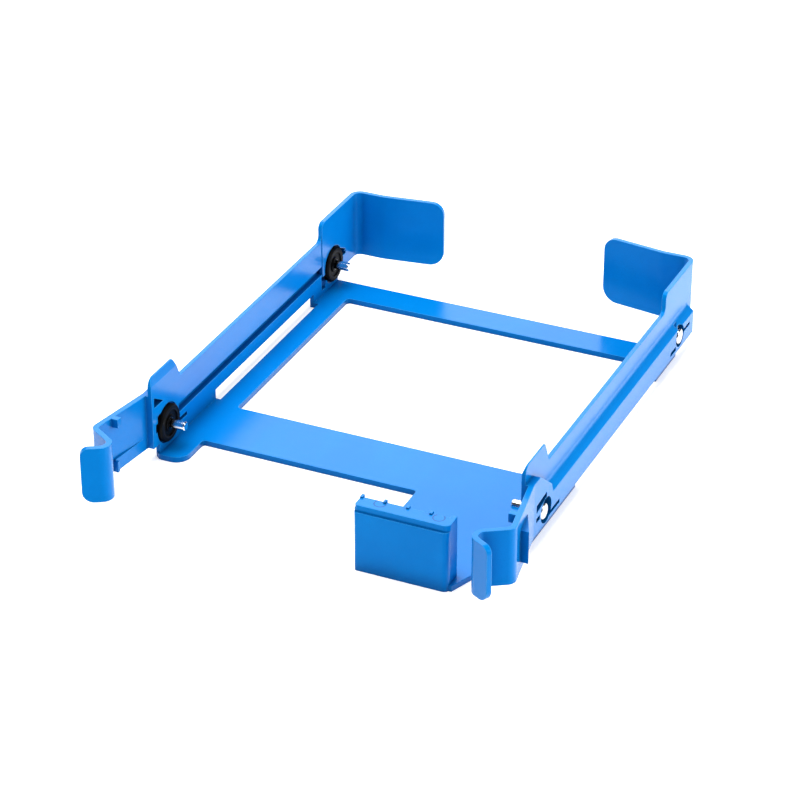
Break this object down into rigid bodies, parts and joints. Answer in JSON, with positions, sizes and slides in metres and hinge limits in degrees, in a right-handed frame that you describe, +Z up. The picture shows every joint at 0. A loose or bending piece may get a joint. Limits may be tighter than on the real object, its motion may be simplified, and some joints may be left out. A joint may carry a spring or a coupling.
{
  "type": "hot swap drive caddy",
  "caption": "Open blue moulded tray that carries a 3.5 inch drive on steel pins in rubber grommets, with springy latch arms, rear tabs and a pull tab.",
  "frame": {"origin": "bottom centre of the bounding box, on the plane of the base plate's underside", "axes": "+X across to the side with the pull tab, +Y from the latch arms to the rear tabs, +Z up"},
  "size_m": [0.121, 0.1611, 0.0252],
  "materials": {
    "frame_plastic": "semi-gloss moulded",
    "grommet_rubber": "matt",
    "pin_steel": "bright turned steel"
  },
  "bodies": {
    "root": {"caddy_frame": "frame_plastic", "front_left_grommet": "grommet_rubber", "front_left_pin": "pin_steel", "front_right_grommet": "grommet_rubber", "front_right_pin": "pin_steel", "rear_left_grommet": "grommet_rubber", "rear_left_pin": "pin_steel", "rear_right_grommet": "grommet_rubber", "rear_right_pin": "pin_steel"}
  },
  "joints": []
}
